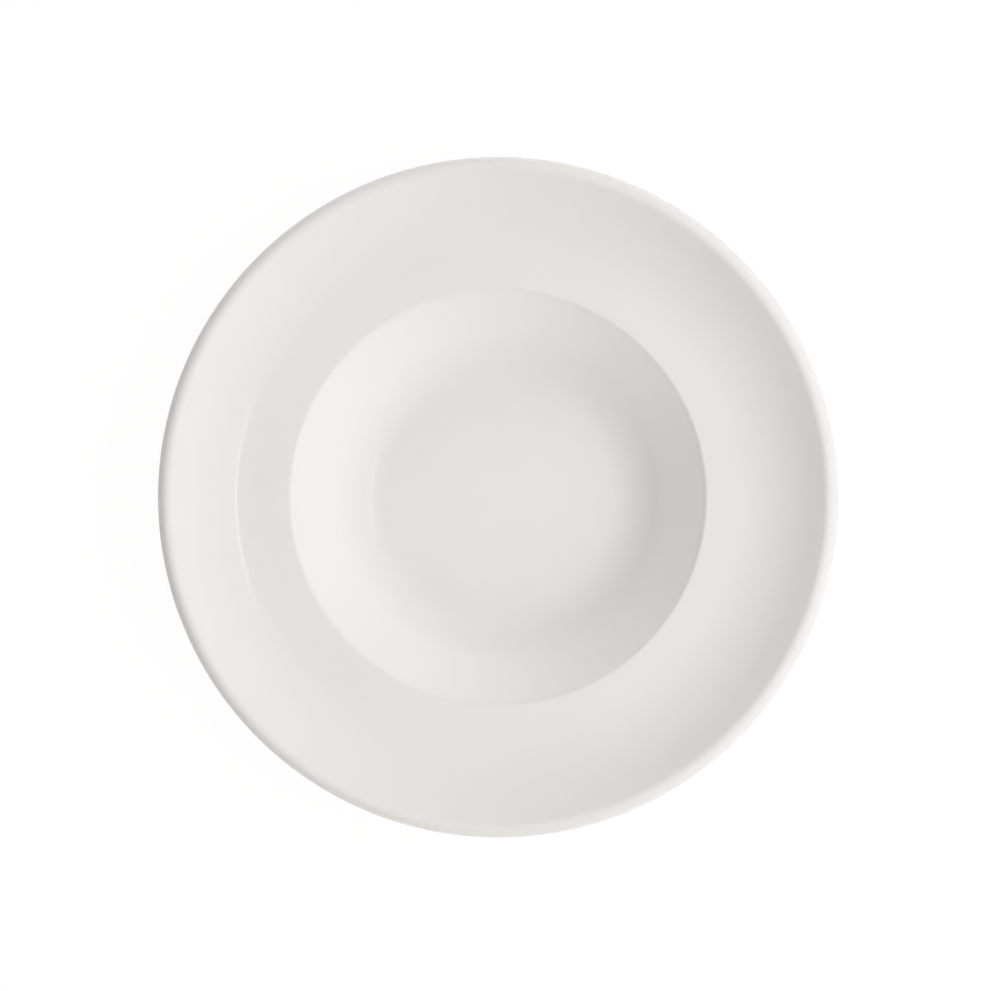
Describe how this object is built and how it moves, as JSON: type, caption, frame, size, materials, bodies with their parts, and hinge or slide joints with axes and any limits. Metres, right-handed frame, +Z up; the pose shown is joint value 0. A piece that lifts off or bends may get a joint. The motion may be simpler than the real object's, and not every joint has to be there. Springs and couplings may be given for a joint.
{
  "type": "deep plate",
  "caption": "Round white porcelain deep plate with a wide upswept rim, a deep sloped well and a bare foot ring, for soup or pasta.",
  "frame": {"origin": "centre of the foot ring, on the plane that the plate stands on", "axes": "+Z up along the axis of revolution, out of the well; X and Y lie in the table plane"},
  "size_m": [0.27, 0.27, 0.047],
  "materials": {
    "biscuit": "bare fired porcelain, fine matt grain",
    "glaze": "smooth gloss glaze over white porcelain"
  },
  "bodies": {
    "root": {"porcelain_body": "biscuit", "glaze_coat": "glaze", "foot_well_glaze": "glaze"}
  },
  "joints": []
}
